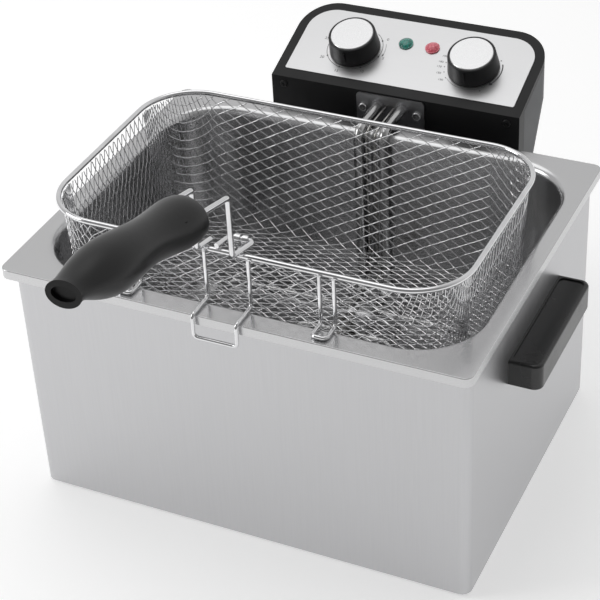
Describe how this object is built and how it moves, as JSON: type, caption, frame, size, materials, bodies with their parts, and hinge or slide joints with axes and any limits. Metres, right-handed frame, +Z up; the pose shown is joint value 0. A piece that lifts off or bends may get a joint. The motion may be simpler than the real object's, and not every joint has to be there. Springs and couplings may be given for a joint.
{
  "type": "deep fryer",
  "caption": "Countertop deep fryer: steel casing and lift-out oil tank, hung control unit with immersed heater, wire basket with a swinging handle.",
  "frame": {"origin": "on the table, under the middle of the whole object's box", "axes": "+Z up, front towards -Y, +X to the right seen from the front"},
  "size_m": [0.399, 0.5548, 0.3416],
  "materials": {
    "casing_steel": "satin, fine vertical grain",
    "plain_steel": "plain zinc-plated sheet",
    "foot_rubber": "matte",
    "screw_steel": "bright plated",
    "handle_plastic": "satin black, fine texture",
    "tank_steel": "satin deck, bright rolled mouth",
    "housing_plastic": "satin black",
    "cover_plastic": "satin dark grey",
    "dark_screw": "black oxide",
    "fascia_steel": "fine horizontal brushing",
    "switch_plastic": "moulded",
    "green_lens": "clear tinted",
    "red_lens": "clear tinted",
    "gland_rubber": "matte",
    "flange_steel": "satin plate",
    "element_steel": "polished sheath, slightly heat-stained",
    "probe_steel": "polished",
    "knob_plastic": "satin charcoal",
    "cap_aluminium": "spun satin disc",
    "reset_plastic": "smooth red",
    "basket_wire": "bright nickel plate",
    "mesh_wire": "bright woven wire",
    "grip_plastic": "soft satin black"
  },
  "bodies": {
    "casing": {"outer_casing": "casing_steel", "base_plate": "plain_steel", "rubber_feet": "foot_rubber", "foot_screws": "screw_steel", "foot_nuts": "screw_steel", "side_handle_left": "handle_plastic", "side_handle_right": "handle_plastic", "side_handle_screws": "screw_steel", "hanging_bracket": "plain_steel"},
    "tank": {"oil_tank": "tank_steel"},
    "control_unit": {"control_front_shell": "housing_plastic", "control_rear_cover": "cover_plastic", "front_shell_screws": "dark_screw", "fascia_plate": "fascia_steel", "timer_body": "switch_plastic", "thermostat_body": "switch_plastic", "green_lamp_lens": "green_lens", "red_lamp_lens": "red_lens", "lamp_bodies": "switch_plastic", "safety_cutout": "switch_plastic", "terminal_block": "switch_plastic", "cord_gland": "gland_rubber", "hanger_hooks": "plain_steel", "hook_screws": "screw_steel", "heater_flange_plate": "flange_steel", "heater_flange_screws": "screw_steel", "heater_ferrules": "flange_steel", "heating_element": "element_steel", "element_pins": "screw_steel", "element_braces": "element_steel", "thermostat_probe": "probe_steel", "cutout_probe": "probe_steel", "probe_clip": "probe_steel"},
    "timer_dial": {"timer_knob": "knob_plastic", "timer_knob_cap": "cap_aluminium", "timer_spindle": "screw_steel"},
    "thermostat_dial": {"thermostat_knob": "knob_plastic", "thermostat_knob_cap": "cap_aluminium", "thermostat_spindle": "screw_steel"},
    "reset": {"reset_button": "reset_plastic"},
    "basket": {"basket_rim": "basket_wire", "basket_mesh": "mesh_wire", "drain_hook": "basket_wire", "rest_loops": "basket_wire", "hinge_eyes": "basket_wire"},
    "handle": {"handle_fork": "basket_wire", "handle_grip": "grip_plastic"}
  },
  "joints": [
    {"name": "tank_lift", "type": "slide", "parent": "casing", "child": "tank", "axis": [0, 0, 1], "range_m": [0, 0.18]},
    {"name": "unit_lift", "type": "slide", "parent": "tank", "child": "control_unit", "axis": [0, 0, 1], "range_m": [0, 0.2]},
    {"name": "basket_lift", "type": "slide", "parent": "control_unit", "child": "basket", "axis": [0, 0, 1], "range_m": [0, 0.16]},
    {"name": "handle_swing", "type": "hinge", "parent": "basket", "child": "handle", "pos_m": [0, -0.07562, 0.2503], "axis": [-1, 0, 0], "range_deg": [0, 150]},
    {"name": "timer_turn", "type": "hinge", "parent": "control_unit", "child": "timer_dial", "pos_m": [-0.0491, 0.23076, 0.23664], "axis": [0, -0.3256, 0.9455], "range_deg": [-150, 107]},
    {"name": "thermostat_turn", "type": "hinge", "parent": "control_unit", "child": "thermostat_dial", "pos_m": [0.0539, 0.23076, 0.23664], "axis": [0, -0.3256, 0.9455], "range_deg": [-130, 75]},
    {"name": "reset_press", "type": "slide", "parent": "control_unit", "child": "reset", "axis": [0, -1, 0], "range_m": [0, 0.0015], "stiffness_N_per_m": 600, "springref_m": -0.0008}
  ]
}
